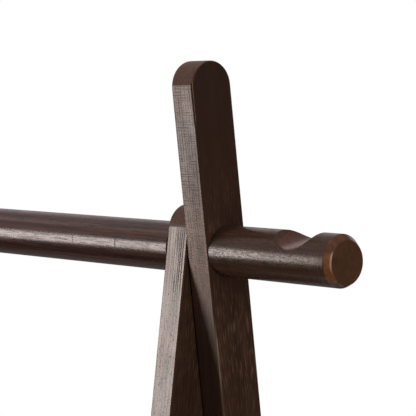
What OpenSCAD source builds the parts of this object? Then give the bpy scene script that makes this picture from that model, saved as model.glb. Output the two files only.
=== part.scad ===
// Free-standing wooden clothes rack. A short leg and a long leg cross at each end of a round
// top rail, and one hidden stud per end clamps rail, legs and a notched end peg together.
// The short legs and their low rail turn about the top rail's axis, so the frame folds.
// X runs along the top rail, Y points to the back, Z is up. The origin is on the floor,
// under the middle of the rail.

/* [Overall] */
// Height of the top rail's centre line above the floor
rail_h = 1350; // [900:10:1600]
// Length of the top rail, from end face to end face
rail_len = 840; // [500:10:1200]
// Lean of each leg from upright
leg_tilt = 7.3; // [5:0.1:12]

/* [Top rail and end pegs] */
// Diameter of the top rail
rail_d = 40; // [32:1:44]
// Easing of the top rail's end edges
rail_edge_r = 0.8; // [0.4:0.1:1.5]
// Diameter of the end pegs
peg_d = 40; // [32:1:44]
// Length of an end peg, from the long leg's face to its tip
peg_len = 128; // [118:1:170]
// Length of the chamfer at the peg's tip, along the peg
peg_chamfer_x = 4.8; // [3:0.1:6]
// Depth of the chamfer at the peg's tip, across the peg
peg_chamfer_r = 3.7; // [2:0.1:6]
// Easing of the edges of the peg's tip
peg_edge_r = 0.9; // [0.4:0.1:1.2]
// Distance of the hanger notch's middle from the long leg's face
notch_x = 85; // [74:0.5:92]
// Radius of the hanger notch's floor
notch_r = 24; // [18:0.5:28]
// Depth of the hanger notch below the peg's top
notch_depth = 10; // [7:0.5:14]
// Turn of the notch from straight up towards the front
notch_turn = 10; // [-20:1:20]

/* [Legs] */
// Width of a leg, seen from the side
leg_w = 40; // [38:1:52]
// Thickness of a leg
leg_t = 24; // [22:1:32]
// Rounding of a leg's long edges
leg_edge_r = 1.3; // [0.5:0.1:3]
// Reach of a long leg above the rail's centre, up to the centre of its round top
long_top = 128; // [60:1:200]
// Reach of a short leg above the rail's centre, up to the centre of its round top
short_top = 15; // [10:1:30]

/* [Low rails] */
// Height of the low rails' centre lines above the floor
low_rail_h = 200; // [120:5:400]
// Diameter of the low rails
low_rail_d = 28; // [24:1:32]
// Easing of the low rails' end edges
low_rail_edge_r = 0.8; // [0.4:0.1:1.5]

/* [Pivot] */
// Diameter of the stud that clamps rail, legs and peg
stud_d = 10; // [8:0.5:11]
// Depth of the stud in the top rail
stud_in_rail = 36; // [25:1:40]
// Depth of the stud in the end peg
stud_in_peg = 26; // [18:1:28]
// Outer diameter of the sleeve that a short leg turns on
bush_d = 16; // [14:0.5:17]
// Diameter of the washers beside a short leg
washer_d = 34; // [26:1:35]
// Thickness of the washers beside a short leg
washer_t = 1; // [0.8:0.1:2]
// Depth that the rail's washer is sunk into the rail's end
washer_sink = 0.8; // [0:0.1:0.8]
// Outer diameter of the threaded inserts for the stud
insert_d = 18; // [16:0.5:20]
// Length of the threaded insert in the top rail
rail_insert_len = 40; // [40:1:60]
// Length of the threaded insert in the end peg
peg_insert_len = 28; // [28:1:40]

/* [Fold stop] */
// Diameter of the stop pin
stop_d = 7; // [5:0.5:8]
// Distance of the stop pin from the rail's axis
stop_reach = 36; // [33:1:40]
// Depth of the stop pin in the long leg
stop_in_leg = 14; // [8:1:16]
// Reach of the stop pin into the short leg's slot
stop_in_slot = 8; // [5:1:10]
// Space left between a folded short leg and the rear low rail
fold_gap = 1; // [0.5:0.1:3]

/* [Low rail bolts] */
// Diameter of a bolt's shank
bolt_d = 8; // [6:0.5:8]
// Depth of a bolt in its low rail
bolt_in_rail = 24; // [16:1:26]
// Diameter of a bolt's head
bolt_head_d = 13; // [12:0.5:14]
// Height of a bolt's head
bolt_head_h = 7; // [5:0.5:8]
// Width of the hexagon socket, flat to flat
bolt_socket = 6; // [4:0.5:7]
// Depth of the hexagon socket
bolt_socket_depth = 4; // [2:0.5:4]
// Outer diameter of the inserts for the bolts
low_insert_d = 12; // [11:0.5:14]
// Length of the inserts for the bolts
low_insert_len = 27; // [27:1:40]
// Diameter of the wooden plug over a bolt
plug_d = 16; // [15:0.5:20]
// Length of the wooden plug over a bolt
plug_len = 6; // [4:0.5:7]
// Easing of the plug's visible edge
plug_edge_r = 0.5; // [0.2:0.1:1]

/* [Feet] */
// Thickness of a foot pad
pad_t = 3; // [2:0.5:6]
// Margin between a pad's edge and the leg's edge
pad_margin = 3; // [1:0.5:5]
// Corner radius of a foot pad
pad_corner_r = 4; // [1:0.5:6]

/* [Clearances] */
// Radial clearance of the turning short leg on its sleeve
run_clear = 0.05; // [0.02:0.01:0.1]
// Free play on each side of a turning short leg
side_play = 0.15; // [0.1:0.05:0.3]
// Radial clearance of glued and screwed pieces
seat_clear = 0.05; // [0.02:0.01:0.1]
// Radial clearance of the stop pin in the drilled ends of its slot
slot_clear = 0.2; // [0.1:0.05:0.4]
// Radial clearance of studs and bolts in a leg
hole_clear = 0.25; // [0.1:0.05:0.5]

/* [Hidden] */
$fn = 96;
RIGHT = 1;
LEFT = -1;
BACK = 1;
FRONT = -1;
wood = [0.24, 0.15, 0.12];
wood_dark = [0.19, 0.12, 0.10];
wood_end = [0.42, 0.26, 0.17];
steel = [0.72, 0.72, 0.74];
brass = [0.78, 0.62, 0.32];
nylon = [0.16, 0.15, 0.15];
felt = [0.22, 0.20, 0.19];
past = 1;

// Places along X on the right side, from the rail's end outwards
rail_end = rail_len / 2;
rail_seat = rail_end - washer_sink;
short_in = rail_seat + washer_t + side_play;
short_out = short_in + leg_t;
long_in = short_out + side_play + washer_t;
long_out = long_in + leg_t;
slot_depth = stop_in_slot + slot_clear;

// Distance down a leg, from the rail's axis, to the low rail and to the floor's cut
low_rail_reach = (rail_h - low_rail_h) / cos(leg_tilt);
leg_down = rail_h / cos(leg_tilt) + leg_w;

// A short leg swings until its back edge is fold_gap short of the rear low rail
fold_rest = asin((leg_w / 2 + low_rail_d / 2 + fold_gap) / low_rail_reach);
fold_max = 2 * leg_tilt - fold_rest;

// Width of a leg where the floor's plane cuts it, and where its middle then lies
foot_w = leg_w / cos(leg_tilt);
foot_y = (rail_h - pad_t) * tan(leg_tilt);

// Turns a shape drawn along Z so that it lies along X, with its own X along Y
module along_x() rotate([90, 0, 90]) children();

// Puts a right-hand piece on either side
module on_side(side) {
    if (side == LEFT) mirror([1, 0, 0]) children();
    else children();
}

// Leg frame: origin on the rail's axis, Z up the leg. The long legs' feet stand at the back.
module in_leg(foot) translate([0, 0, rail_h]) rotate([foot * leg_tilt, 0, 0]) children();

function unit(v) = v / norm(v);
// Half of the angle at corner i of an outline
function half_angle(pts, i) =
    let (n = len(pts), p = pts[i], a = unit(pts[(i + n - 1) % n] - p), b = unit(pts[(i + 1) % n] - p))
    acos(a * b) / 2;

// Convex outline with each corner rounded to its own radius
module eased(pts, radii) {
    n = len(pts);
    corners = [for (i = [0 : n - 1]) if (radii[i] > 0) i];
    polygon([for (i = [0 : n - 1])
        let (p = pts[i], cut = radii[i] / tan(half_angle(pts, i)))
        each radii[i] > 0
            ? [p + unit(pts[(i + n - 1) % n] - p) * cut, p + unit(pts[(i + 1) % n] - p) * cut]
            : [p]]);
    for (i = corners) {
        p = pts[i];
        middle = unit(unit(pts[(i + n - 1) % n] - p) + unit(pts[(i + 1) % n] - p));
        translate(p + middle * radii[i] / sin(half_angle(pts, i))) circle(r = radii[i]);
    }
}

module rounded_rect(w, h, r)
    eased([[-w / 2, -h / 2], [w / 2, -h / 2], [w / 2, h / 2], [-w / 2, h / 2]], [r, r, r, r]);

// Round rod along X from x0 to x1
module rod(x0, x1, d) translate([x0, 0, 0]) along_x() cylinder(d = d, h = x1 - x0);

// Round tube along X from x0 to x1
module tube(x0, x1, outer, inner) difference() {
    rod(x0, x1, outer);
    rod(x0 - past, x1 + past, inner);
}

// Wooden rail along X with eased ends, and a socket for an insert in each end
module rail(x, d, edge_r, socket_d, socket_len) difference() {
    translate([-x, 0, 0]) along_x() rotate_extrude()
        eased([[0, 0], [d / 2, 0], [d / 2, 2 * x], [0, 2 * x]], [0, edge_r, edge_r, 0]);
    for (side = [LEFT, RIGHT]) on_side(side) rod(x - socket_len, x + past, socket_d);
}

// Leg blank in its own frame, from inner face x0, with a half-round top and a level foot
module leg_blank(foot, x0, top) intersection() {
    in_leg(foot) translate([x0 + leg_t / 2, 0, 0]) {
        translate([0, 0, -leg_down]) linear_extrude(leg_down + top)
            rounded_rect(leg_t, leg_w, leg_edge_r);
        translate([0, 0, top]) along_x() rotate_extrude(angle = 180)
            eased([[0, -leg_t / 2], [leg_w / 2, -leg_t / 2], [leg_w / 2, leg_t / 2], [0, leg_t / 2]],
                  [0, leg_edge_r, leg_edge_r, 0]);
    }
    translate([x0 - past, -rail_h, pad_t]) cube([leg_t + 2 * past, 2 * rail_h, 2 * rail_h]);
}

// Hole through a leg for a low rail's bolt, with the wider bore for its head and plug
module bolt_hole(foot, x0) in_leg(foot) translate([0, 0, -low_rail_reach]) {
    rod(x0 - past, x0 + leg_t + past, bolt_d + 2 * hole_clear);
    rod(x0 + leg_t - plug_len - bolt_head_h, x0 + leg_t + past, plug_d + 2 * seat_clear);
}

// Curved slot about the rail's axis that lets the short leg travel from open to folded.
// Its ends are drilled a little wider than the groove between them.
module stop_slot(depth) {
    end_play = slot_clear / stop_reach * 180 / PI;
    open_end = 2 * leg_tilt - 90 + end_play;
    swing = fold_max + 2 * end_play;
    groove = stop_d + slot_clear;
    for (a = [open_end, open_end - swing])
        rotate([0, 0, a]) translate([stop_reach, 0, 0])
            cylinder(d = stop_d + 2 * slot_clear, h = depth);
    rotate([0, 0, open_end - swing]) rotate_extrude(angle = swing)
        translate([stop_reach - groove / 2, 0]) square([groove, depth]);
}

module top_rail() color(wood) translate([0, 0, rail_h]) difference() {
    rail(rail_end, rail_d, rail_edge_r, insert_d + 2 * seat_clear,
         washer_sink + rail_insert_len + past);
    for (side = [LEFT, RIGHT]) on_side(side)
        rod(rail_seat, rail_end + past, washer_d + 2 * seat_clear);
}

module rail_insert(side) color(brass) on_side(side) translate([0, 0, rail_h])
    tube(rail_seat - rail_insert_len, rail_seat, insert_d, stud_d + 2 * seat_clear);

module pivot_stud(side) color(steel) on_side(side) translate([0, 0, rail_h])
    rod(rail_seat - stud_in_rail, long_out + stud_in_peg, stud_d);

module pivot_bush(side) color(steel) on_side(side) translate([0, 0, rail_h])
    tube(rail_seat, long_in, bush_d, stud_d + 2 * seat_clear);

module washer(side, x0) color(nylon) on_side(side) translate([0, 0, rail_h])
    tube(x0, x0 + washer_t, washer_d, bush_d + 2 * run_clear);

module long_leg(side) color(wood) on_side(side) difference() {
    leg_blank(BACK, long_in, long_top);
    translate([0, 0, rail_h]) rod(long_in - past, long_out + past, stud_d + 2 * hole_clear);
    in_leg(BACK) translate([0, 0, -stop_reach])
        rod(long_in - past, long_in + stop_in_leg, stop_d + 2 * seat_clear);
    bolt_hole(BACK, long_in);
}

module short_leg(side) color(wood_dark) on_side(side) difference() {
    leg_blank(FRONT, short_in, short_top);
    translate([0, 0, rail_h]) rod(short_in - past, short_out + past, bush_d + 2 * run_clear);
    in_leg(FRONT) translate([short_out - slot_depth, 0, 0]) along_x()
        stop_slot(slot_depth + past);
    bolt_hole(FRONT, short_in);
}

module end_peg(side) color(wood_end) on_side(side) translate([long_out, 0, rail_h]) difference() {
    along_x() rotate_extrude() eased(
        [[0, 0], [peg_d / 2, 0], [peg_d / 2, peg_len - peg_chamfer_x],
         [peg_d / 2 - peg_chamfer_r, peg_len], [0, peg_len]],
        [0, rail_edge_r, peg_edge_r, peg_edge_r, 0]);
    rotate([notch_turn, 0, 0]) translate([notch_x, 0, peg_d / 2 - notch_depth + notch_r])
        rotate([90, 0, 0]) cylinder(r = notch_r, h = peg_d + 2 * past, center = true);
    rod(-past, peg_insert_len + past, insert_d + 2 * seat_clear);
}

module peg_insert(side) color(brass) on_side(side) translate([0, 0, rail_h])
    tube(long_out, long_out + peg_insert_len, insert_d, stud_d + 2 * seat_clear);

module stop_pin(side) color(steel) on_side(side) in_leg(BACK) translate([0, 0, -stop_reach])
    rod(short_out - stop_in_slot, long_in + stop_in_leg, stop_d);

// A low rail between the inner faces of its two legs
module low_rail(foot, x) color(wood) in_leg(foot) translate([0, 0, -low_rail_reach])
    rail(x, low_rail_d, low_rail_edge_r, low_insert_d + 2 * seat_clear, low_insert_len + past);

module low_insert(side, foot, x) color(brass) on_side(side)
    in_leg(foot) translate([0, 0, -low_rail_reach])
    tube(x - low_insert_len, x, low_insert_d, bolt_d + 2 * seat_clear);

module low_bolt(side, foot, x) color(steel) on_side(side)
    in_leg(foot) translate([0, 0, -low_rail_reach]) {
    head = x + leg_t - plug_len - bolt_head_h;
    rod(x - bolt_in_rail, head + past, bolt_d);
    difference() {
        rod(head, head + bolt_head_h, bolt_head_d);
        translate([head + bolt_head_h - bolt_socket_depth, 0, 0]) along_x()
            cylinder(d = bolt_socket / cos(30), h = bolt_socket_depth + past, $fn = 6);
    }
}

module low_plug(side, foot, x) color(wood_dark) on_side(side)
    in_leg(foot) translate([x + leg_t - plug_len, 0, -low_rail_reach]) along_x() rotate_extrude()
    eased([[0, 0], [plug_d / 2, 0], [plug_d / 2, plug_len], [0, plug_len]], [0, 0, plug_edge_r, 0]);

module foot_pad(side, foot, x) color(felt) on_side(side)
    translate([x + leg_t / 2, foot * foot_y, 0]) linear_extrude(pad_t)
    rounded_rect(leg_t - 2 * pad_margin, foot_w - 2 * pad_margin, pad_corner_r);

top_rail();
rail_insert(RIGHT);  // rail_insert_right
rail_insert(LEFT);  // rail_insert_left
pivot_stud(RIGHT);  // pivot_stud_right
pivot_stud(LEFT);  // pivot_stud_left
pivot_bush(RIGHT);  // pivot_bush_right
pivot_bush(LEFT);  // pivot_bush_left
washer(RIGHT, rail_seat);  // rail_washer_right
washer(LEFT, rail_seat);  // rail_washer_left
washer(RIGHT, long_in - washer_t);  // leg_washer_right
washer(LEFT, long_in - washer_t);  // leg_washer_left
long_leg(RIGHT);  // long_leg_right
long_leg(LEFT);  // long_leg_left
end_peg(RIGHT);  // end_peg_right
end_peg(LEFT);  // end_peg_left
peg_insert(RIGHT);  // peg_insert_right
peg_insert(LEFT);  // peg_insert_left
stop_pin(RIGHT);  // stop_pin_right
stop_pin(LEFT);  // stop_pin_left
low_rail(BACK, long_in);  // rear_rail
low_insert(RIGHT, BACK, long_in);  // rear_insert_right
low_insert(LEFT, BACK, long_in);  // rear_insert_left
low_bolt(RIGHT, BACK, long_in);  // rear_bolt_right
low_bolt(LEFT, BACK, long_in);  // rear_bolt_left
low_plug(RIGHT, BACK, long_in);  // rear_plug_right
low_plug(LEFT, BACK, long_in);  // rear_plug_left
foot_pad(RIGHT, BACK, long_in);  // rear_pad_right
foot_pad(LEFT, BACK, long_in);  // rear_pad_left
short_leg(RIGHT);  // short_leg_right
short_leg(LEFT);  // short_leg_left
low_rail(FRONT, short_in);  // front_rail
low_insert(RIGHT, FRONT, short_in);  // front_insert_right
low_insert(LEFT, FRONT, short_in);  // front_insert_left
low_bolt(RIGHT, FRONT, short_in);  // front_bolt_right
low_bolt(LEFT, FRONT, short_in);  // front_bolt_left
low_plug(RIGHT, FRONT, short_in);  // front_plug_right
low_plug(LEFT, FRONT, short_in);  // front_plug_left
foot_pad(RIGHT, FRONT, short_in);  // front_pad_right
foot_pad(LEFT, FRONT, short_in);  // front_pad_left
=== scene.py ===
import math

import bpy
from mathutils import Matrix, Vector, noise as fuzz

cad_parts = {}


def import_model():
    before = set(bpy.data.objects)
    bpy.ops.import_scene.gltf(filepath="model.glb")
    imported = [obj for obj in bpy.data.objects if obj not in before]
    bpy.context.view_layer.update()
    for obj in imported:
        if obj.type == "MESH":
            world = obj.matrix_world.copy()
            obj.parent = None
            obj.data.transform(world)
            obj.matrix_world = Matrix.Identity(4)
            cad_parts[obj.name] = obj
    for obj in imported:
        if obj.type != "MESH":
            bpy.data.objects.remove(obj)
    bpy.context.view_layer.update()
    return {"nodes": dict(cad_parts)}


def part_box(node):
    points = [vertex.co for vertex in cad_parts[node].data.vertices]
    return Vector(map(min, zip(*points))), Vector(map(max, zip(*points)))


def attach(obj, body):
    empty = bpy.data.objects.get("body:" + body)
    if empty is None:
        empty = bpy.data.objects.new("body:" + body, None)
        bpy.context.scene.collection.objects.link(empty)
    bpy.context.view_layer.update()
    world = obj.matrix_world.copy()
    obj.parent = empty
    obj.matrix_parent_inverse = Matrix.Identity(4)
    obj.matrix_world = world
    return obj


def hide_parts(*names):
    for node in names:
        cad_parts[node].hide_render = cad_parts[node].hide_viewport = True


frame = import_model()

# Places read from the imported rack, in metres
RAIL_LOW, RAIL_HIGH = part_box("top_rail")
AXIS_Z = (RAIL_LOW.z + RAIL_HIGH.z) / 2
RAIL_R = (RAIL_HIGH.z - RAIL_LOW.z) / 2
LEG_OUT_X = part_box("long_leg_right")[1].x
PEG_TIP_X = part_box("end_peg_right")[1].x
JOINT = Vector((LEG_OUT_X, 0, AXIS_Z))

# Real sizes of the construction that the boxes can't give, in metres, and angles from degrees
LEG_TILT = math.radians(7.3)
LEG_W = 0.040
LEG_T = 0.024
PEG_CHAMFER_X = 0.0048
PEG_CHAMFER_R = 0.0037
PEG_SHOULDER_EASE = 0.0005
PEG_RIM_EASE = 0.0007
PEG_FOOT_EASE = 0.0006
NOTCH_X = 0.085
NOTCH_R = 0.024
NOTCH_DEPTH = 0.010
NOTCH_TURN = math.radians(10)
NOTCH_SOFT = 0.0004
PAD_CORNER = 0.004
PAD_EDGE = 0.0006
PAD_PLAY = 0.0004
PAD_BULGE = 0.00015
PAD_WISP = 0.00015
FLOOR_R = 1.1

# How finely the pegs are turned, and the angles up to which edges are shaded smooth
PEG_FACETS = 144
NOTCH_ROWS = 90
PEG_SMOOTH = math.radians(35)
PAD_SMOOTH = math.radians(50)

# Turn that lays what stands upright along the rail
ALONG_X = (0, math.pi / 2, 0)

# The peg's chamfer is sanded unevenly: its inner rim is a little wider, and lies lower and further back
PEG_RIM_GROWTH = 0.0003
PEG_RIM_BACK = 0.0006
PEG_RIM_DROP = 0.0008
PEG_RIM_R = RAIL_R - PEG_CHAMFER_R + PEG_RIM_GROWTH

# Hairline cracks of the top rail: distance inwards from the leg, lowest and highest place from the axis,
# and strength. A crack fades between these distances from its middle, and over this length at its ends
CRACKS = ((0.1148, -0.004, 0.007, 0.6), (0.1716, -0.002, 0.006, 0.3))
CRACK_LINE = (0.0008, 0.0004)
CRACK_FADE = 0.002

# The camera stands to the right front of the right joint, a little above the rail. Lens and sensor are in
# millimetres
CAMERA_FROM_JOINT = Vector((0.99713, -0.90897, 0.11017))
CAMERA_YAW = math.radians(48.28)
CAMERA_PITCH = math.radians(-3.26)
CAMERA_LENS = 151.036
CAMERA_SENSOR = 36
CAMERA_REACH = 60

# Soft lamps: place from the right joint, place that they point at, size, radiance and tint
LAMPS = {"key": ((-2.301, -1.765, -0.11), (0, 0, -0.11), (0.97, 1.08), 8.5, (1.0, 0.97, 0.95)),
         "fill": ((2.92, -0.67, 0.0), (0, 0, 0), (0.85, 2.5), 3.0, (1.0, 0.97, 0.93)),
         "overhead": ((0.1, -0.35, 2.3), (0, 0, 0), (2.2, 1.1), 1.7, (1.0, 0.97, 0.98))}

# Stain on the wood and what shows where it is rubbed or sanded off, with painted highlights in the corner
# and rim colours
LEG_STAIN = (0.106, 0.0515, 0.0305)
FLECK = (0.300, 0.172, 0.106)
RAIL_STAIN = (0.104, 0.0484, 0.0340)
PEG_STAIN = (0.102, 0.0495, 0.0270)
RUBBED_AND_HIGHLIGHT = (0.28, 0.125, 0.062)
END_STAIN = (0.168, 0.078, 0.047)
BARE = (0.44, 0.162, 0.060)
CAP = (0.180, 0.080, 0.038)
RIM_WEAR_AND_CATCHLIGHT = (0.86, 0.58, 0.44)
PALE_BACK_RIM = (0.70, 0.52, 0.44)
RIM_PAINTED_GLINT = (0.95, 0.52, 0.20)
NOTCH_STAIN = (0.185, 0.078, 0.052)
HOOK_RUB = (0.47, 0.32, 0.29)
SANDED_EDGE_HIGHLIGHT = (0.66, 0.46, 0.34)

# The two colours that the fittings and the felt vary between
STEEL = ((0.58, 0.57, 0.55), (0.36, 0.35, 0.34))
BRASS = ((0.66, 0.47, 0.20), (0.34, 0.23, 0.10))
NYLON = ((0.040, 0.036, 0.036), (0.062, 0.056, 0.055))
FELT = ((0.075, 0.058, 0.047), (0.16, 0.13, 0.11))

# Depth that a bump of one stands for, in metres
LEG_BUMP = 0.00006
RAIL_BUMP = 0.00005
PLUG_BUMP = 0.00010
METAL_BUMP = 0.00003
NYLON_BUMP = 0.00003
FELT_BUMP = 0.0002

# Distances behind a piece's middle between which its back turns into its front
FRONT = (0.004, -0.004)

# Heights on a leg, above the rail's axis, between which its looks change
PLAIN_GRAIN = (-0.06, 0.05)
FLECKS_START = (0.03, -0.06)
FLECKS_THIN = (-0.125, -0.095)
HIGH_FLECKS = (0.085, 0.035)
CORNER_LINES_TOP = (0.098, 0.106)
SANDED_HIGHLIGHT_START = (-0.045, -0.070)
SANDED_HIGHLIGHT_THIN = (-0.115, -0.090)
WEAVE_THIN = (0.070, 0.095)
COMB_START = (0.018, 0.004)
COMB_END = (-0.050, -0.020)
PITS_START = (-0.015, -0.050)

# Distances from a leg's corner between which its lines and marks fade
CORNER_LINE = (0.0008, 0.0004)
NARROW_LINE_STOPS = (0.0020, 0.0014)
FACE_LINE_STOPS = (0.0016, 0.0010)
SMOOTH_BORDER = (0.0014, 0.0036)

# Distances past the lowest place of a leg's end grain between which it starts and turns glossy
END_BORDER = (-0.0004, 0.0004)
END_GLOSS = (0.010, 0.017)

# Radii between which a plug ends and its line of glue starts
PLUG_GLUE = (0.0066, 0.0072)

# Distances past a peg's tip between which its looks change
NOTCH_STOPS = (-0.0052, -0.0062)
CHAMFER_STARTS = (-0.0046, -0.0054)
TURNED_TIP = (-0.026, -0.014)
CLOSED_TIP = (-0.026, -0.012)

# The same past the leg's face, and past the notch's middle
FOOT_SHADE = (0.024, 0.004)
RUB_STARTS = (-0.0100, -0.0045)
RUB_STOPS = (0.0030, -0.0020)
BRIM_STOPS = (-0.003, -0.006)

# Distances past the peg's full radius, where it is cut for the notch, and past the rim of its tip
NOTCH_CUT = (-0.0003, -0.0016)
BRIM_CUT = (-0.0022, -0.0014)
RIM_INNER = (0.0, 0.0002)
RIM_OUTER = (0.0011, 0.0006)
GLINT_INNER = (-0.0001, 0.0002)

# Distance from the notch's round surface within which its brim lies
BRIM_WIDTH = (0.0016, 0.0008)

# Heights on a peg, above the rail's axis, between which its looks change
FOOT_SHADE_UP = (0.004, 0.011)
BARE_TOP = (0.0095, 0.0020)
BARE_LOW = (-0.0170, -0.0110)
BACK_RIM_UP = (0.003, 0.010)
WEAR_AND_CATCHLIGHT_TOP = (0.009, 0.005)
WEAR_AND_CATCHLIGHT_LOW = (-0.009, -0.002)
SPOTS_LOW = (-0.004, -0.008)
GLINT_LOW = (-0.008, -0.011)

# Distances behind a peg's middle between which its looks change
BACK_RIM = (0.002, 0.010)
WEAR_AND_CATCHLIGHT_FRONT = (-0.002, -0.008)
GLINT_BACK = (0.000, 0.004)

# How the two kinds of leg differ. end_grain is its lowest place above the rail's axis, varnish its metallic
# share and specular level. face scales the broad face's colour, lower on the short leg as painted shade
# from the long
# leg beside it. painted_light_steps lists the painted light and shade on the narrow faces on the way down
# the leg:
# start and end above the rail's axis, and how much lighter the colour gets.
LONG_LEG = {"end_grain": 0.1315, "gloss": 0.36, "varnish": (0.24, 0.70), "woven": True,
            "face": 1.04, "flecks": 1.0, "sanded": 0.8,
            "painted_light_steps": ((0.118, 0.100, -0.20), (0.070, 0.020, 0.35),
                      (0.035, 0.015, 0.20), (-0.045, -0.065, -0.35))}
SHORT_LEG = {"end_grain": 0.0165, "gloss": 0.25, "varnish": (0.15, 0.53), "woven": False,
             "face": 0.74, "flecks": 0.6, "sanded": 0.0,
             "painted_light_steps": ((-0.020, -0.035, -0.15), (-0.055, -0.070, 0.15), (-0.085, -0.110, -0.22))}


def camera():
    """The photograph's view of the right joint."""
    data = bpy.data.cameras.new("camera")
    data.lens = CAMERA_LENS
    data.sensor_width = CAMERA_SENSOR
    data.clip_end = CAMERA_REACH
    cam = bpy.data.objects.new("camera", data)
    cam.location = JOINT + CAMERA_FROM_JOINT
    cam.rotation_euler = (math.pi / 2 + CAMERA_PITCH, 0, CAMERA_YAW)
    bpy.context.scene.collection.objects.link(cam)
    bpy.context.scene.camera = cam


def area_light(name, place, target, size, radiance, colour):
    """A rectangular soft light that shines from place towards target."""
    data = bpy.data.lights.new(name, "AREA")
    data.shape = "RECTANGLE"
    data.size, data.size_y = size
    data.energy = radiance * math.pi * size[0] * size[1]
    data.color = colour
    lamp = bpy.data.objects.new(name, data)
    lamp.location = place
    lamp.rotation_euler = (target - place).to_track_quat("-Z", "Y").to_euler()
    bpy.context.scene.collection.objects.link(lamp)


def lights():
    """A strong lamp to the left at the rail's height, a weak one at the right, and one overhead."""
    for name, (place, target, size, radiance, colour) in LAMPS.items():
        area_light(name, JOINT + Vector(place), JOINT + Vector(target), size, radiance, colour)


def link(tree, socket, value):
    """Feeds a socket from another socket, or sets it to a constant."""
    if isinstance(value, bpy.types.NodeSocket):
        tree.links.new(value, socket)
    else:
        socket.default_value = value


def put(tree, kind, *inputs, **settings):
    """Adds a node, feeds its first sockets in order and returns it."""
    made = tree.nodes.new(kind)
    for key, value in settings.items():
        setattr(made, key, value)
    for socket, value in zip(made.inputs, inputs):
        if value is not None:
            link(tree, socket, value)
    return made


def calc(tree, operation, *inputs):
    """Works out a value from others, by the name of the operation."""
    return put(tree, "ShaderNodeMath", *inputs, operation=operation).outputs[0]


def vec(tree, operation, *inputs):
    """Works out a vector, or a length or product, by the name of the operation."""
    made = put(tree, "ShaderNodeVectorMath", *inputs, operation=operation)
    return made.outputs["Value" if operation in ("DOT_PRODUCT", "LENGTH") else "Vector"]


def axes(tree, vector):
    """The x, y and z of a vector."""
    return put(tree, "ShaderNodeSeparateXYZ", vector).outputs


def distance(tree, a, b):
    """How far a place is from another, a and b away along two axes."""
    return vec(tree, "LENGTH", put(tree, "ShaderNodeCombineXYZ", a, b, 0.0).outputs[0])


def ramp(tree, value, low, high, to_low=0.0, to_high=1.0):
    """Smooth step of a value from to_low at low to to_high at high."""
    made = put(tree, "ShaderNodeMapRange", value, low, high, to_low, to_high,
               interpolation_type="SMOOTHSTEP")
    return made.outputs[0]


def noise(tree, place, stretch, scale, detail=2.0, rough=0.5):
    """Noise in place, with its cells stretched along each axis by the inverse of stretch."""
    cells = vec(tree, "MULTIPLY", place, stretch)
    return put(tree, "ShaderNodeTexNoise", cells, None, scale, detail, rough).outputs[0]


def total(tree, *values):
    """The sum of some values."""
    result = values[0]
    for value in values[1:]:
        result = calc(tree, "ADD", result, value)
    return result


def times(tree, *values):
    """The product of some values."""
    result = values[0]
    for value in values[1:]:
        result = calc(tree, "MULTIPLY", result, value)
    return result


def less(tree, value):
    """One minus a value."""
    return calc(tree, "SUBTRACT", 1.0, value)


def mix_value(tree, factor, a, b):
    """A value that goes from a to b as factor goes from 0 to 1."""
    return total(tree, times(tree, less(tree, factor), a), times(tree, factor, b))


def mix(tree, factor, a, b, blend="MIX"):
    """A colour that goes from a to b as factor goes from 0 to 1."""
    made = tree.nodes.new("ShaderNodeMix")
    made.data_type = "RGBA"
    made.blend_type = blend
    link(tree, made.inputs["Factor"], factor)
    for socket, value in ((made.inputs[6], a), (made.inputs[7], b)):
        link(tree, socket, value if isinstance(value, bpy.types.NodeSocket) else (*value, 1))
    return made.outputs[2]


def shade_of(colour, share):
    """A colour made lighter or darker all over."""
    return tuple(share * c for c in colour)


def tint(tree, colour, share):
    """A colour made lighter or darker by a share that changes over the surface."""
    grey = put(tree, "ShaderNodeCombineColor", share, share, share).outputs[0]
    return mix(tree, 1.0, colour, grey, "MULTIPLY")


def glow(tree, way, towards, start, full, low, high):
    """Brightness of the room around one direction: low at cosine start, high at cosine full."""
    cosine = vec(tree, "DOT_PRODUCT", way, Vector(towards).normalized())
    return ramp(tree, cosine, start, full, low, high)


def world():
    """White behind the rack; a dim room with a pale upper left around it."""
    sky = bpy.data.worlds.new("studio")
    sky.use_nodes = True
    bpy.context.scene.world = sky
    tree = sky.node_tree
    shade = tree.nodes["Background"]
    path = put(tree, "ShaderNodeLightPath").outputs
    way = put(tree, "ShaderNodeTexCoord").outputs["Generated"]
    left = glow(tree, way, (-1, 0, 0), -0.3, 0.5, 0.35, 1.0)
    ceiling = times(tree, ramp(tree, axes(tree, way)[2], 0.04, 0.26, 0.0, 0.38), left)
    strip = glow(tree, way, (-0.80, -0.14, 0.58), 0.982, 0.997, 0.0, 0.34)
    ground = glow(tree, way, (-0.72, 0.62, -0.32), 0.6, 1.0, 0.015, 0.18)
    high_back = glow(tree, way, (-0.72, 0.62, 0.31), 0.93, 0.985, 0.0, 0.28)
    room = calc(tree, "MAXIMUM", total(tree, ceiling, strip, high_back), ground)
    behind = (-math.sin(CAMERA_YAW), math.cos(CAMERA_YAW), -0.06)
    backdrop = glow(tree, way, behind, 0.93, 0.99, 0.0, 0.34)
    room = calc(tree, "MAXIMUM", room, times(tree, path["Is Glossy Ray"], backdrop))
    white = calc(tree, "MAXIMUM", path["Is Camera Ray"], path["Is Transmission Ray"])
    link(tree, shade.inputs["Color"], mix(tree, white, (0.98, 0.905, 0.95), (1, 1, 1)))
    link(tree, shade.inputs["Strength"], calc(tree, "MAXIMUM", white, room))


def new_material(name):
    """A material with its node tree and its surface shader."""
    mat = bpy.data.materials.new(name)
    mat.use_nodes = True
    return mat, mat.node_tree, mat.node_tree.nodes["Principled BSDF"]


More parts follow.
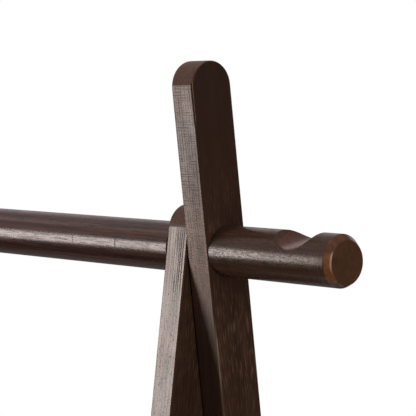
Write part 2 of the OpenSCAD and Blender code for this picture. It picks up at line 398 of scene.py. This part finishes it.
def floor():
    """Pale floor under the rack, which fades into the white backdrop."""
    bpy.ops.mesh.primitive_circle_add(vertices=96, radius=FLOOR_R, fill_type="NGON", location=(0, 0, 0))
    ground = bpy.context.object
    ground.name = "floor"
    mat, tree, shade = new_material("pale_floor")
    shade.inputs["Base Color"].default_value = (0.82, 0.82, 0.82, 1)
    shade.inputs["Roughness"].default_value = 0.9
    path = put(tree, "ShaderNodeLightPath").outputs
    seen = calc(tree, "MAXIMUM", path["Is Camera Ray"], path["Is Glossy Ray"])
    seen = calc(tree, "MAXIMUM", seen, path["Is Transmission Ray"])
    shade.inputs["Emission Color"].default_value = (1, 1, 1, 1)
    link(tree, shade.inputs["Emission Strength"], times(tree, seen, 0.45))
    away = vec(tree, "LENGTH", put(tree, "ShaderNodeTexCoord").outputs["Object"])
    link(tree, shade.inputs["Alpha"], ramp(tree, away, 0.55, 1.0, 1.0, 0.0))
    ground.data.materials.append(mat)


def in_board(tree, centre, turn):
    """Object space laid along a board, with a slow drift so that its grain isn't dead straight."""
    coords = put(tree, "ShaderNodeTexCoord").outputs
    board = put(tree, "ShaderNodeMapping", coords["Object"], centre, turn, vector_type="TEXTURE")
    local = board.outputs[0]
    warp = noise(tree, local, (1, 1, 0.15), 22.0, 2.0)
    drift = times(tree, calc(tree, "SUBTRACT", warp, 0.5), 0.012)
    grain = vec(tree, "ADD", local, put(tree, "ShaderNodeCombineXYZ", drift, drift, 0.0).outputs[0])
    return coords, local, grain


def fine_lines(tree, grain):
    """Fine lines of the wood, long along the grain."""
    return noise(tree, grain, (1, 1, 0.02), 1300.0, 2.0, 0.6)


def wood_share(tree, grain, lines):
    """How light the wood is, from its broad figure and its fine lines."""
    figure = noise(tree, grain, (1, 1, 0.02), 170.0, 3.0, 0.6)
    lighter = ramp(tree, lines, 0.3, 0.7, -0.26, 0.26)
    return total(tree, ramp(tree, figure, 0.3, 0.7, 0.84, 1.16), lighter)


def bump(tree, shade, height, strength, depth):
    """Raises the surface by height, in shares of depth."""
    made = put(tree, "ShaderNodeBump", strength, depth)
    link(tree, made.inputs["Height"], height)
    link(tree, shade.inputs["Normal"], made.outputs[0])


def varnish(tree, shade, colour, rough, height, depth, metallic=0.14, specular=0.5):
    """Thin varnish over the stain; height is in shares of depth."""
    link(tree, shade.inputs["Base Color"], colour)
    shade.inputs["Metallic"].default_value = metallic
    shade.inputs["Specular IOR Level"].default_value = specular
    link(tree, shade.inputs["Roughness"], rough)
    bump(tree, shade, height, 1.0, depth)


def threads(tree, place, local, period, stretch):
    """Parallel lines across the direction of place, which wander a little; from -1 to 1."""
    wander = times(tree, noise(tree, local, stretch, 130.0, 2.0), 13.0)
    return calc(tree, "SINE", total(tree, times(tree, place, 2 * math.pi / period), wander))


def canvas_marks(tree, local, grain):
    """Fine pores and saw marks across them, like a weave, on the narrow faces of a long leg."""
    x, _, z = axes(tree, local)
    down = ramp(tree, threads(tree, x, local, 0.0027, (1, 1, 0.10)), -0.1, 0.8)
    broken_down = ramp(tree, noise(tree, grain, (1, 1, 0.22), 330.0, 2.0), 0.40, 0.58, 0.15, 1.0)
    cross = ramp(tree, threads(tree, z, local, 0.0020, (0.2, 0.2, 1)), 0.0, 0.8)
    broken_cross = ramp(tree, noise(tree, local, (0.4, 0.4, 1), 280.0, 2.0), 0.42, 0.60, 0.10, 0.9)
    weave = total(tree, times(tree, down, broken_down), times(tree, cross, broken_cross))
    strong = ramp(tree, z, *WEAVE_THIN, 0.38, 0.31)
    return times(tree, calc(tree, "MINIMUM", weave, 1.0), strong)


def comb_marks(tree, local, side):
    """Long open pores below the top of a short leg, and few short ones further down."""
    x, _, z = axes(tree, local)
    comb = ramp(tree, threads(tree, x, local, 0.0029, (1, 1, 0.03)), 0.05, 0.65)
    broken = ramp(tree, noise(tree, local, (1, 1, 0.03), 420.0, 2.0), 0.42, 0.56)
    outer_half = ramp(tree, times(tree, x, side), -0.004, 0.003, 0.35, 1.0)
    comb = times(tree, comb, broken, outer_half, ramp(tree, z, *COMB_END),
                 ramp(tree, z, *COMB_START, 0.3, 1.0))
    pit = ramp(tree, noise(tree, local, (1, 1, 0.25), 900.0, 1.0), 0.64, 0.72, 0.0, 0.8)
    pit = times(tree, pit, ramp(tree, z, *PITS_START, 0.2, 1.0))
    streak = ramp(tree, noise(tree, local, (1, 1, 0.03), 1000.0, 1.0), 0.45, 0.68, 0.0, 0.25)
    return calc(tree, "MAXIMUM", comb, calc(tree, "MAXIMUM", pit, streak))


def past(place, distances):
    """Places at some distances past a place."""
    return [place + gap for gap in distances]


def in_front(tree, y):
    """One on the front half of a piece and nothing on its back."""
    return ramp(tree, y, *FRONT)


def leg_stain(tree, grain, lines, z, outer, finish):
    """Stain of a leg, flecked on its broad face, with painted light and shade by height on its broad and
    narrow faces.
    """
    plain = ramp(tree, z, *PLAIN_GRAIN, 0.0, 0.65)
    share = total(tree, times(tree, wood_share(tree, grain, lines), less(tree, plain)), plain)
    fleck = ramp(tree, noise(tree, grain, (1, 1, 0.08), 940.0, 1.5), 0.56, 0.65)
    low = times(tree, ramp(tree, z, *FLECKS_START), ramp(tree, z, *FLECKS_THIN, 0.6, 1.0))
    upper = ramp(tree, z, *HIGH_FLECKS, 0.12, 0.45)
    fleck = times(tree, outer, fleck, calc(tree, "MAXIMUM", low, upper), finish["flecks"])
    colour = mix(tree, times(tree, fleck, 0.8), tint(tree, LEG_STAIN, share), FLECK)
    # Painted light and shade on the broad face: darker towards the top and lighter low down
    darker = total(tree, ramp(tree, z, 0.14, 0.0, 0.80, 1.0), times(tree, low, 0.18))
    narrow = less(tree, outer)
    face = total(tree, narrow, times(tree, outer, darker, finish["face"]))
    # Painted light and shade on the narrow faces: lighter and darker steps by height
    changes = [ramp(tree, z, start, stop, 0.0, change) for start, stop, change in finish["painted_light_steps"]]
    return tint(tree, colour, total(tree, face, times(tree, narrow, total(tree, *changes))))


def corner_lines(tree, local, to_face, finish):
    """How far the outer corners of a leg are pale, partly rubbed and partly a painted highlight, darkened
    along a thin line, and pale low down, partly sanded bare and partly a painted highlight.
    """
    _, y, z = axes(tree, local)
    to_narrow = calc(tree, "SUBTRACT", LEG_W / 2, calc(tree, "ABSOLUTE", y))
    on_narrow = times(tree, ramp(tree, to_narrow, *CORNER_LINE), ramp(tree, to_face, *NARROW_LINE_STOPS))
    on_face = times(tree, ramp(tree, to_face, *CORNER_LINE), ramp(tree, to_narrow, *FACE_LINE_STOPS))
    wear_and_highlight = ramp(tree, noise(tree, local, (1, 1, 0.10), 160.0, 2.0, 0.6), 0.40, 0.62, 0.30, 1.0)
    top = ramp(tree, z, *CORNER_LINES_TOP)
    front = in_front(tree, y)
    pale = times(tree, mix_value(tree, top, on_narrow, times(tree, on_face, 2.0)), wear_and_highlight)
    dark = times(tree, mix_value(tree, top, on_face, on_narrow), front)
    below = times(tree, ramp(tree, z, *SANDED_HIGHLIGHT_START), ramp(tree, z, *SANDED_HIGHLIGHT_THIN, 0.35, 1.0))
    sanded = times(tree, on_face, front, below, wear_and_highlight, finish["sanded"])
    return calc(tree, "MINIMUM", pale, 1.0), dark, sanded


def leg_wood(name, side, centre, turn, finish):
    """Stained wood of a leg: open pores, lined corners, and darker end grain over its round top."""
    mat, tree, shade = new_material(name)
    coords, local, grain = in_board(tree, centre, turn)
    x, _, z = axes(tree, local)
    lines = fine_lines(tree, grain)
    outer = ramp(tree, calc(tree, "ABSOLUTE", axes(tree, coords["Normal"])[0]), 0.4, 0.75)
    narrow = less(tree, outer)
    end_z = finish["end_grain"]
    end = times(tree, ramp(tree, z, *past(end_z, END_BORDER)), narrow)
    to_face = calc(tree, "SUBTRACT", LEG_T / 2, times(tree, x, side))
    pale, dark, sanded = corner_lines(tree, local, to_face, finish)
    mark = canvas_marks(tree, local, grain) if finish["woven"] else comb_marks(tree, local, side)
    mark = times(tree, mark, narrow, less(tree, end), ramp(tree, to_face, *SMOOTH_BORDER, 0.15, 1.0))
    speck = noise(tree, local, (1, 1, 1), 1100.0, 2.0, 0.6)
    end_colour = tint(tree, END_STAIN, ramp(tree, speck, 0.35, 0.65, 1.25, 0.65))
    colour = mix(tree, end, leg_stain(tree, grain, lines, z, outer, finish), end_colour)
    # Pale corner lines: partly rubbed wear, partly a painted highlight
    colour = mix(tree, times(tree, pale, 0.8), colour, RUBBED_AND_HIGHLIGHT)
    deep = calc(tree, "MAXIMUM", times(tree, mark, 0.8), times(tree, dark, 0.75))
    colour = mix(tree, deep, colour, shade_of(LEG_STAIN, 0.2))
    # Pale low corner line: partly sanded bare, partly a painted highlight where the corner lies in shade
    colour = mix(tree, sanded, colour, SANDED_EDGE_HIGHLIGHT)
    patch = ramp(tree, noise(tree, local, (1, 1, 0.3), 55.0, 2.0), 0.35, 0.65, -0.03, 0.03)
    end_rough = times(tree, end, ramp(tree, z, *past(end_z, END_GLOSS), 0.42, 0.12))
    rough = total(tree, times(tree, mark, 0.34), times(tree, dark, 0.35), end_rough, patch,
                  finish["gloss"])
    height = total(tree, times(tree, lines, 0.3), times(tree, mark, -0.6))
    varnish(tree, shade, colour, rough, height, LEG_BUMP, *finish["varnish"])
    return mat


def rail_grain(tree, shade, grain, colour, keep, gloss, turned, pore_length, open_pores):
    """Fine long pores and turning marks of a round rail, under its varnish."""
    pores = ramp(tree, noise(tree, grain, (1, 1, 1 / pore_length), 1300.0, 1.0), 0.58, 0.68, 0.0, 0.8)
    tiny = ramp(tree, noise(tree, grain, (1, 1, 1.2 / pore_length), 720.0, 2.0), 0.46, 0.64, 0.0, 0.5)
    pore = times(tree, calc(tree, "MAXIMUM", pores, tiny), keep, open_pores)
    ring = noise(tree, grain, (0.015, 0.015, 1), 1000.0, 1.0)
    lines = noise(tree, grain, (1, 1, 0.015), 1100.0, 2.0, 0.6)
    colour = mix(tree, times(tree, pore, 0.6), colour, shade_of(RAIL_STAIN, 0.2))
    ring_rough = times(tree, ramp(tree, ring, 0.42, 0.60, 0.0, 0.10), keep, turned)
    line_rough = ramp(tree, lines, 0.3, 0.7, -0.02, 0.03)
    rough = total(tree, times(tree, pore, 0.22), line_rough, ring_rough, gloss)
    height = total(tree, times(tree, lines, 0.25), times(tree, pore, -0.25),
                   times(tree, ring, turned, 0.05))
    varnish(tree, shade, colour, rough, height, RAIL_BUMP)


def round_wood(name, centre, gloss, cracks=()):
    """Stained wood of a round rail, with its grain along X and its hairline cracks."""
    mat, tree, shade = new_material(name)
    coords, _, grain = in_board(tree, centre, ALONG_X)
    share = wood_share(tree, grain, fine_lines(tree, grain))
    streaks = ramp(tree, noise(tree, grain, (1, 1, 0.008), 420.0, 2.0, 0.6), 0.32, 0.68, -0.45, 0.45)
    colour = tint(tree, RAIL_STAIN, total(tree, share, streaks))
    end = ramp(tree, calc(tree, "ABSOLUTE", axes(tree, coords["Normal"])[0]), 0.6, 0.9)
    colour = mix(tree, end, colour, END_STAIN)
    x, y, z = axes(tree, coords["Object"])
    for inwards, low, high, strength in cracks:
        near = calc(tree, "ABSOLUTE", total(tree, x, times(tree, y, 0.02), inwards - LEG_OUT_X))
        above = ramp(tree, z, AXIS_Z + low - CRACK_FADE, AXIS_Z + low)
        below = ramp(tree, z, AXIS_Z + high + CRACK_FADE, AXIS_Z + high)
        crack = times(tree, ramp(tree, near, *CRACK_LINE), above, below, strength)
        colour = mix(tree, crack, colour, shade_of(RAIL_STAIN, 0.1))
        gloss = total(tree, times(tree, crack, 0.5), gloss)
    rail_grain(tree, shade, grain, colour, less(tree, end), gloss, 0.2, 12, 0.85)
    return mat


def peg_foot_shade(tree, colour, out, z):
    """Painted shade where the peg meets the leg, on its upper side."""
    shade_by_leg = times(tree, ramp(tree, out, *past(LEG_OUT_X, FOOT_SHADE)), ramp(tree, z, *FOOT_SHADE_UP))
    return mix(tree, times(tree, shade_by_leg, 0.6), colour, shade_of(PEG_STAIN, 0.35))


def peg_notch(tree, colour, local, out, across, radius):
    """Thin stain in the hanger notch, rubbed paler by hooks beside its middle."""
    cut = ramp(tree, radius, *past(RAIL_R, NOTCH_CUT))
    notch = times(tree, cut, ramp(tree, out, *past(PEG_TIP_X, NOTCH_STOPS)))
    rings = noise(tree, local, (1, 1, 0.10), 420.0, 2.0)
    colour = mix(tree, notch, colour, tint(tree, NOTCH_STAIN, ramp(tree, rings, 0.3, 0.7, 0.75, 1.2)))
    rub = times(tree, notch, ramp(tree, across, *RUB_STARTS), ramp(tree, across, *RUB_STOPS))
    return mix(tree, times(tree, rub, 0.85), colour, HOOK_RUB)


def notch_brim(tree, across, y, z, radius):
    """One along the notch's brim on the leg's side, and nothing away from it."""
    to_front = times(tree, y, math.sin(NOTCH_TURN))
    up = calc(tree, "SUBTRACT", times(tree, z, math.cos(NOTCH_TURN)), to_front)
    up = calc(tree, "SUBTRACT", up, RAIL_R - NOTCH_DEPTH + NOTCH_R)
    to_hollow = calc(tree, "SUBTRACT", distance(tree, across, up), NOTCH_R)
    to_hollow = calc(tree, "ABSOLUTE", to_hollow)
    return times(tree, ramp(tree, to_hollow, *BRIM_WIDTH), ramp(tree, across, *BRIM_STOPS),
                 ramp(tree, radius, *past(RAIL_R, BRIM_CUT)))


def peg_chamfer(tree, colour, chamfer, grit, y, z):
    """The sanded chamfer: bare in front, stained above and below, and pale at the upper back."""
    bare = times(tree, in_front(tree, y), ramp(tree, z, *BARE_TOP, 0.22, 1.0), ramp(tree, z, *BARE_LOW))
    sanded = mix(tree, bare, shade_of(PEG_STAIN, 1.2), BARE)
    back = times(tree, ramp(tree, y, *BACK_RIM), ramp(tree, z, *BACK_RIM_UP))
    sanded = mix(tree, times(tree, back, 0.9), sanded, PALE_BACK_RIM)
    return mix(tree, chamfer, colour, tint(tree, sanded, ramp(tree, grit, 0.3, 0.7, 0.8, 1.2)))


def peg_tip(tree, colour, local, facing, y, z):
    """The flat tip: thin stain with specks and blots, a little darker towards its upper front."""
    tip = ramp(tree, facing, 0.9, 0.98)
    specks = noise(tree, local, (1, 1, 1), 500.0, 3.0, 0.6)
    blots = noise(tree, local, (1, 1, 1), 110.0, 2.0)
    share = total(tree, ramp(tree, specks, 0.3, 0.7, -0.12, 0.12),
                  ramp(tree, blots, 0.35, 0.65, -0.10, 0.10),
                  ramp(tree, calc(tree, "SUBTRACT", y, z), -0.02, 0.02, 0.9, 1.1))
    return mix(tree, tip, colour, tint(tree, CAP, share))


def peg_rim(tree, colour, coords, chamfer, grit, y, z):
    """The rim around the tip: pale in front, partly rubbed and partly a painted catch-light, and a painted
    golden glint at its lower back.
    """
    from_middle = vec(tree, "SUBTRACT", coords["Object"], (0, PEG_RIM_BACK, AXIS_Z - PEG_RIM_DROP))
    from_middle = vec(tree, "LENGTH", vec(tree, "MULTIPLY", from_middle, (0, 1, 1)))
    rim = times(tree, ramp(tree, from_middle, *past(PEG_RIM_R, RIM_INNER)),
                ramp(tree, from_middle, *past(PEG_RIM_R, RIM_OUTER)))
    # Rubbed wear and a painted catch-light on the front of the rim, and bright spots lower down
    wear_and_highlight = times(tree, ramp(tree, z, *WEAR_AND_CATCHLIGHT_TOP), ramp(tree, z, *WEAR_AND_CATCHLIGHT_LOW), ramp(tree, y, *WEAR_AND_CATCHLIGHT_FRONT))
    spots = times(tree, ramp(tree, grit, 0.54, 0.62), ramp(tree, z, *SPOTS_LOW), 0.5)
    colour = mix(tree, times(tree, rim, calc(tree, "MAXIMUM", wear_and_highlight, spots)), colour, RIM_WEAR_AND_CATCHLIGHT)
    # Painted golden glint on the lower back of the rim
    glint = times(tree, ramp(tree, z, *GLINT_LOW), ramp(tree, y, *GLINT_BACK),
                  ramp(tree, from_middle, *past(PEG_RIM_R, GLINT_INNER)))
    return mix(tree, times(tree, glint, chamfer), colour, RIM_PAINTED_GLINT)


def peg_wood(name, side):
    """Stained wood of an end peg: thinner stain in the notch, on the chamfer and on the tip."""
    mat, tree, shade = new_material(name)
    centre = Vector((side * (LEG_OUT_X + PEG_TIP_X) / 2, 0, AXIS_Z))
    coords, local, grain = in_board(tree, centre, ALONG_X)
    x, y, z = axes(tree, vec(tree, "SUBTRACT", coords["Object"], (0, 0, AXIS_Z)))
    out = times(tree, x, side)
    across = calc(tree, "SUBTRACT", out, LEG_OUT_X + NOTCH_X)
    radius = distance(tree, y, z)
    facing = times(tree, axes(tree, coords["Normal"])[0], side)
    chamfer = less(tree, ramp(tree, out, *past(PEG_TIP_X, CHAMFER_STARTS)))
    chamfer = times(tree, chamfer, ramp(tree, facing, 0.3, 0.5))
    grit = noise(tree, local, (1, 1, 0.5), 300.0, 3.0, 0.6)
    colour = tint(tree, PEG_STAIN, wood_share(tree, grain, fine_lines(tree, grain)))
    colour = peg_foot_shade(tree, colour, out, z)
    colour = peg_notch(tree, colour, local, out, across, radius)
    colour = peg_chamfer(tree, colour, chamfer, grit, y, z)
    colour = peg_tip(tree, colour, local, facing, y, z)
    colour = peg_rim(tree, colour, coords, chamfer, grit, y, z)
    # Painted shade along the notch's brim on the leg's side, which dims the light on its softened rim
    brim = notch_brim(tree, across, y, z, radius)
    colour = mix(tree, times(tree, brim, 0.15), colour, shade_of(PEG_STAIN, 0.5))
    sanded = ramp(tree, times(tree, in_front(tree, y), z), 0.001, 0.009, 0.22, 0.60)
    dull = total(tree, times(tree, chamfer, sanded), times(tree, brim, 0.4), 0.20)
    turned = ramp(tree, out, *past(PEG_TIP_X, TURNED_TIP), 0.5, 1.2)
    open_pores = ramp(tree, out, *past(PEG_TIP_X, CLOSED_TIP), 1.2, 0.55)
    keep = ramp(tree, facing, 0.5, 0.2)
    rail_grain(tree, shade, grain, colour, keep, dull, turned, 4.5, open_pores)
    return mat


def turned_metal(name, bright, dull, rough):
    """Turned metal with fine rings about X and duller patches."""
    mat, tree, shade = new_material(name)
    place = put(tree, "ShaderNodeTexCoord").outputs["Object"]
    ring = noise(tree, place, (1, 0.05, 0.05), 2600.0, 2.0)
    patch = noise(tree, place, (1, 1, 1), 260.0, 3.0, 0.6)
    dulled = ramp(tree, patch, 0.42, 0.68, 0.0, 0.7)
    link(tree, shade.inputs["Base Color"], mix(tree, dulled, bright, dull))
    shade.inputs["Metallic"].default_value = 1.0
    link(tree, shade.inputs["Roughness"], total(tree, ramp(tree, patch, 0.4, 0.7, -0.04, 0.12), rough))
    bump(tree, shade, ring, 0.6, METAL_BUMP)
    return mat


def nylon():
    """Dark matt nylon, slightly cloudy, with a fine stamped texture."""
    mat, tree, shade = new_material("dark_nylon")
    place = put(tree, "ShaderNodeTexCoord").outputs["Object"]
    cloud = noise(tree, place, (1, 1, 1), 300.0, 2.0)
    link(tree, shade.inputs["Base Color"], mix(tree, cloud, *NYLON))
    link(tree, shade.inputs["Roughness"], ramp(tree, cloud, 0.3, 0.7, 0.46, 0.60))
    bump(tree, shade, noise(tree, place, (1, 1, 1), 3000.0, 2.0), 0.5, NYLON_BUMP)
    return mat


def felt():
    """Pressed brown felt with matted fibres."""
    mat, tree, shade = new_material("pressed_felt")
    place = put(tree, "ShaderNodeTexCoord").outputs["Object"]
    upright = noise(tree, place, (1, 1, 0.3), 1500.0, 4.0, 0.7)
    across = noise(tree, place, (0.3, 1, 1), 1700.0, 3.0, 0.7)
    fibre = calc(tree, "MAXIMUM", upright, across)
    link(tree, shade.inputs["Base Color"], mix(tree, ramp(tree, fibre, 0.45, 0.75), *FELT))
    shade.inputs["Roughness"].default_value = 0.95
    shade.inputs["Sheen Weight"].default_value = 0.3
    bump(tree, shade, fibre, 1.0, FELT_BUMP)
    return mat


def plug_wood(name, centre, turn):
    """A plug cut across the board, with a dark line of glue around it."""
    mat, tree, shade = new_material(name)
    _, local, grain = in_board(tree, centre, turn)
    lines = fine_lines(tree, grain)
    _, y, z = axes(tree, local)
    glue = ramp(tree, distance(tree, y, z), *PLUG_GLUE)
    colour = tint(tree, shade_of(LEG_STAIN, 1.15), wood_share(tree, grain, lines))
    colour = mix(tree, times(tree, glue, 0.8), colour, shade_of(LEG_STAIN, 0.15))
    pore = ramp(tree, noise(tree, grain, (1, 1, 0.16), 1250.0, 1.5), 0.55, 0.64)
    colour = mix(tree, times(tree, pore, 0.6), colour, shade_of(LEG_STAIN, 0.22))
    rough = total(tree, times(tree, pore, 0.35), times(tree, glue, 0.2), 0.34)
    height = total(tree, times(tree, lines, 0.35), times(tree, pore, -1.0), times(tree, glue, -1.0))
    varnish(tree, shade, colour, rough, height, PLUG_BUMP)
    return mat


def only(obj):
    """Makes obj the one selected and active object."""
    bpy.ops.object.select_all(action="DESELECT")
    obj.select_set(True)
    bpy.context.view_layer.objects.active = obj


def choose_edges(obj, wanted):
    """Selects the edges of obj whose two ends are as wanted says."""
    bpy.ops.mesh.select_all(action="DESELECT")
    bpy.ops.mesh.select_mode(type="EDGE")
    bpy.ops.object.mode_set(mode="OBJECT")
    places = [vert.co.copy() for vert in obj.data.vertices]
    for edge in obj.data.edges:
        a, b = edge.vertices
        edge.select = wanted(places[a], places[b])
    bpy.ops.object.mode_set(mode="EDIT")


def turned_piece(name, start_x, side, profile, segments):
    """A round piece turned about the rail's axis. profile lists (distance from start_x, radius)."""
    bpy.ops.object.select_all(action="DESELECT")
    first_out, first_radius = profile[0]
    place = (side * (start_x + first_out), 0, AXIS_Z)
    bpy.ops.mesh.primitive_circle_add(vertices=segments, radius=first_radius, fill_type="NGON",
                                      location=place, rotation=ALONG_X)
    obj = bpy.context.object
    obj.name = name
    bpy.ops.object.transform_apply(location=True, rotation=True, scale=True)
    bpy.ops.object.mode_set(mode="EDIT")
    bpy.ops.mesh.select_all(action="SELECT")
    out, radius = first_out, first_radius
    for next_out, next_radius in profile[1:]:
        step = side * (next_out - out)
        bpy.ops.mesh.extrude_region_move(TRANSFORM_OT_translate={"value": (step, 0, 0)})
        share = next_radius / radius
        middle = (side * (start_x + next_out), 0, AXIS_Z)
        bpy.ops.transform.resize(value=(1, share, share), center_override=middle)
        out, radius = next_out, next_radius
    bpy.ops.mesh.select_all(action="SELECT")
    bpy.ops.mesh.normals_make_consistent(inside=False)
    bpy.ops.object.mode_set(mode="OBJECT")
    return obj


def eased(corner, before, after, radius, steps):
    """Points that round a corner of a profile, from the side of before to the side of after."""
    corner, before, after = Vector(corner), Vector(before), Vector(after)
    start = corner + (before - corner).normalized() * radius
    finish = corner + (after - corner).normalized() * radius
    points = []
    for i in range(steps + 1):
        t = i / steps
        points.append(tuple(start * (1 - t) ** 2 + corner * 2 * t * (1 - t) + finish * t ** 2))
    return points


def peg_profile():
    """The peg from its foot on the leg to its tip, with close rows where the notch goes."""
    length = PEG_TIP_X - LEG_OUT_X
    foot_ring, tip_rings, margin = 0.006, (0.010, 0.003), 0.004
    shoulder = (length - PEG_CHAMFER_X, RAIL_R)
    rim = (length, RAIL_R - PEG_CHAMFER_R)
    rows = [(0.0, foot_ring)] + eased((0, RAIL_R), (0, 0.01), (0.01, RAIL_R), PEG_FOOT_EASE, 4)
    first = NOTCH_X - NOTCH_R - margin
    last = NOTCH_X + NOTCH_R + margin
    for i in range(NOTCH_ROWS + 1):
        rows.append((first + (last - first) * i / NOTCH_ROWS, RAIL_R))
    rows += eased(shoulder, (0.05, RAIL_R), rim, PEG_SHOULDER_EASE, 5)
    rows += eased(rim, shoulder, (length, 0.0), PEG_RIM_EASE, 6)
    return rows + [(length, ring) for ring in tip_rings]


def cut_notch(obj, side):
    """Sinks the hanger notch into the upper side of the peg, with a rim softened by sanding."""
    up = Vector((0, -math.sin(NOTCH_TURN), math.cos(NOTCH_TURN)))
    middle_height = RAIL_R - NOTCH_DEPTH + NOTCH_R
    for vert in obj.data.vertices:
        out = vert.co.x * side - LEG_OUT_X - NOTCH_X
        if abs(out) >= NOTCH_R - 0.0001:
            continue
        height = (vert.co - Vector((vert.co.x, 0, AXIS_Z))).dot(up)
        lowest = middle_height - math.sqrt(NOTCH_R ** 2 - out ** 2)
        if height < -0.5 * RAIL_R:
            continue
        gap = max(NOTCH_SOFT - abs(height - lowest), 0.0)
        softened = min(height, lowest) - gap * gap / (4 * NOTCH_SOFT)
        vert.co += up * (softened - height)


def sand_chamfer(obj, side):
    """Shifts the chamfer's inner rim and the tip, so that the chamfer is narrower below and behind."""
    growth = PEG_RIM_GROWTH / (RAIL_R - PEG_CHAMFER_R)
    for vert in obj.data.vertices:
        share = (vert.co.x * side - PEG_TIP_X + PEG_CHAMFER_X) / PEG_CHAMFER_X
        share = min(max(share, 0.0), 1.0)
        vert.co.y += share * (growth * vert.co.y + PEG_RIM_BACK)
        vert.co.z += share * (growth * (vert.co.z - AXIS_Z) - PEG_RIM_DROP)


def end_peg(label, side):
    """The peg with its uneven chamfer and its hanger notch."""
    peg = turned_piece(f"peg_{label}", LEG_OUT_X, side, peg_profile(), PEG_FACETS)
    sand_chamfer(peg, side)
    cut_notch(peg, side)
    only(peg)
    bpy.ops.object.shade_smooth_by_angle(angle=PEG_SMOOTH)
    peg.data.materials.append(peg_wood(f"peg_wood_{label}", side))
    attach(peg, "rear_frame")
    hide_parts(f"end_peg_{label}")


def felt_pad(low, high):
    """A felt pad with rounded corners, squeezed out a little at half its height."""
    middle = (0, 0, (low.z + high.z) / 2)
    bpy.ops.object.select_all(action="DESELECT")
    bpy.ops.mesh.primitive_cube_add(size=1, location=middle)
    pad = bpy.context.object
    bpy.ops.object.transform_apply(location=True, rotation=True, scale=True)
    bpy.ops.object.mode_set(mode="EDIT")
    bpy.ops.mesh.select_all(action="SELECT")
    size = (high.x - low.x - PAD_PLAY, high.y - low.y - PAD_PLAY, high.z - low.z)
    bpy.ops.transform.resize(value=size, center_override=middle)
    choose_edges(pad, lambda a, b: abs(a.z - b.z) > 0.001)
    bpy.ops.mesh.bevel(offset=PAD_CORNER, segments=8)
    choose_edges(pad, lambda a, b: abs(a.z - b.z) < 0.0001)
    bpy.ops.mesh.bevel(offset=PAD_EDGE, segments=3)
    bpy.ops.mesh.select_all(action="SELECT")
    bpy.ops.mesh.subdivide(number_cuts=3)
    bpy.ops.object.mode_set(mode="OBJECT")
    half = (high.z - low.z) / 2
    for vert in pad.data.vertices:
        bulge = 1 - ((vert.co.z - low.z - half) / half) ** 2
        wisp = fuzz.noise(vert.co * 900) * PAD_WISP
        level = Vector((vert.co.x, vert.co.y, 0))
        if bulge > 0.02:
            vert.co += level.normalized() * (bulge * PAD_BULGE + wisp * bulge)
    bpy.ops.object.shade_smooth_by_angle(angle=PAD_SMOOTH)
    return pad


def foot_pads(material):
    """The same felt pad under each foot."""
    pad = felt_pad(*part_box("rear_pad_right"))
    pad.data.materials.append(material)
    for foot, body in (("rear_pad", "rear_frame"), ("front_pad", "front_frame")):
        for side in ("right", "left"):
            low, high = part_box(f"{foot}_{side}")
            piece = pad.copy()
            piece.data = pad.data.copy()
            piece.name = f"felt_{foot}_{side}"
            bpy.context.scene.collection.objects.link(piece)
            piece.data.transform(Matrix.Translation(((low.x + high.x) / 2, (low.y + high.y) / 2, 0)))
            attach(piece, body)
            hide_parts(f"{foot}_{side}")
    bpy.data.objects.remove(pad)


def dress(node, material):
    """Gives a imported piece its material."""
    obj = frame["nodes"][node]
    obj.data.materials.clear()
    obj.data.materials.append(material)


def finish_wood():
    """Stain for the legs, the plugs over their bolts, and the rails."""
    for side, outward in (("right", 1), ("left", -1)):
        for leg, foot, finish in (("long_leg", 1, LONG_LEG), ("short_leg", -1, SHORT_LEG)):
            low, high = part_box(f"{leg}_{side}")
            centre = Vector(((low.x + high.x) / 2, 0, AXIS_Z))
            turn = (foot * LEG_TILT, 0, 0)
            dress(f"{leg}_{side}", leg_wood(f"{leg}_{side}_wood", outward, centre, turn, finish))
        for plug, foot in (("rear_plug", 1), ("front_plug", -1)):
            low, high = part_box(f"{plug}_{side}")
            turn = (foot * LEG_TILT, 0, 0)
            dress(f"{plug}_{side}", plug_wood(f"{plug}_{side}_wood", (low + high) / 2, turn))
    for rail in ("top_rail", "rear_rail", "front_rail"):
        low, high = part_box(rail)
        cracks = CRACKS if rail == "top_rail" else ()
        dress(rail, round_wood(f"{rail}_wood", (low + high) / 2, 0.21, cracks))


def finish_fittings():
    """Steel, brass and nylon for the fittings inside the joints."""
    steel = turned_metal("turned_steel", *STEEL, 0.30)
    brass = turned_metal("turned_brass", *BRASS, 0.34)
    families = ((steel, ("pivot_stud", "pivot_bush", "stop_pin", "rear_bolt", "front_bolt")),
                (brass, ("rail_insert", "peg_insert", "rear_insert", "front_insert")),
                (nylon(), ("rail_washer", "leg_washer")))
    for material, fittings in families:
        for fitting in fittings:
            for side in ("right", "left"):
                dress(f"{fitting}_{side}", material)


bpy.context.scene.view_settings.view_transform = "Standard"
camera()
world()
lights()
floor()
finish_wood()
finish_fittings()
end_peg("right", 1)
end_peg("left", -1)
foot_pads(felt())
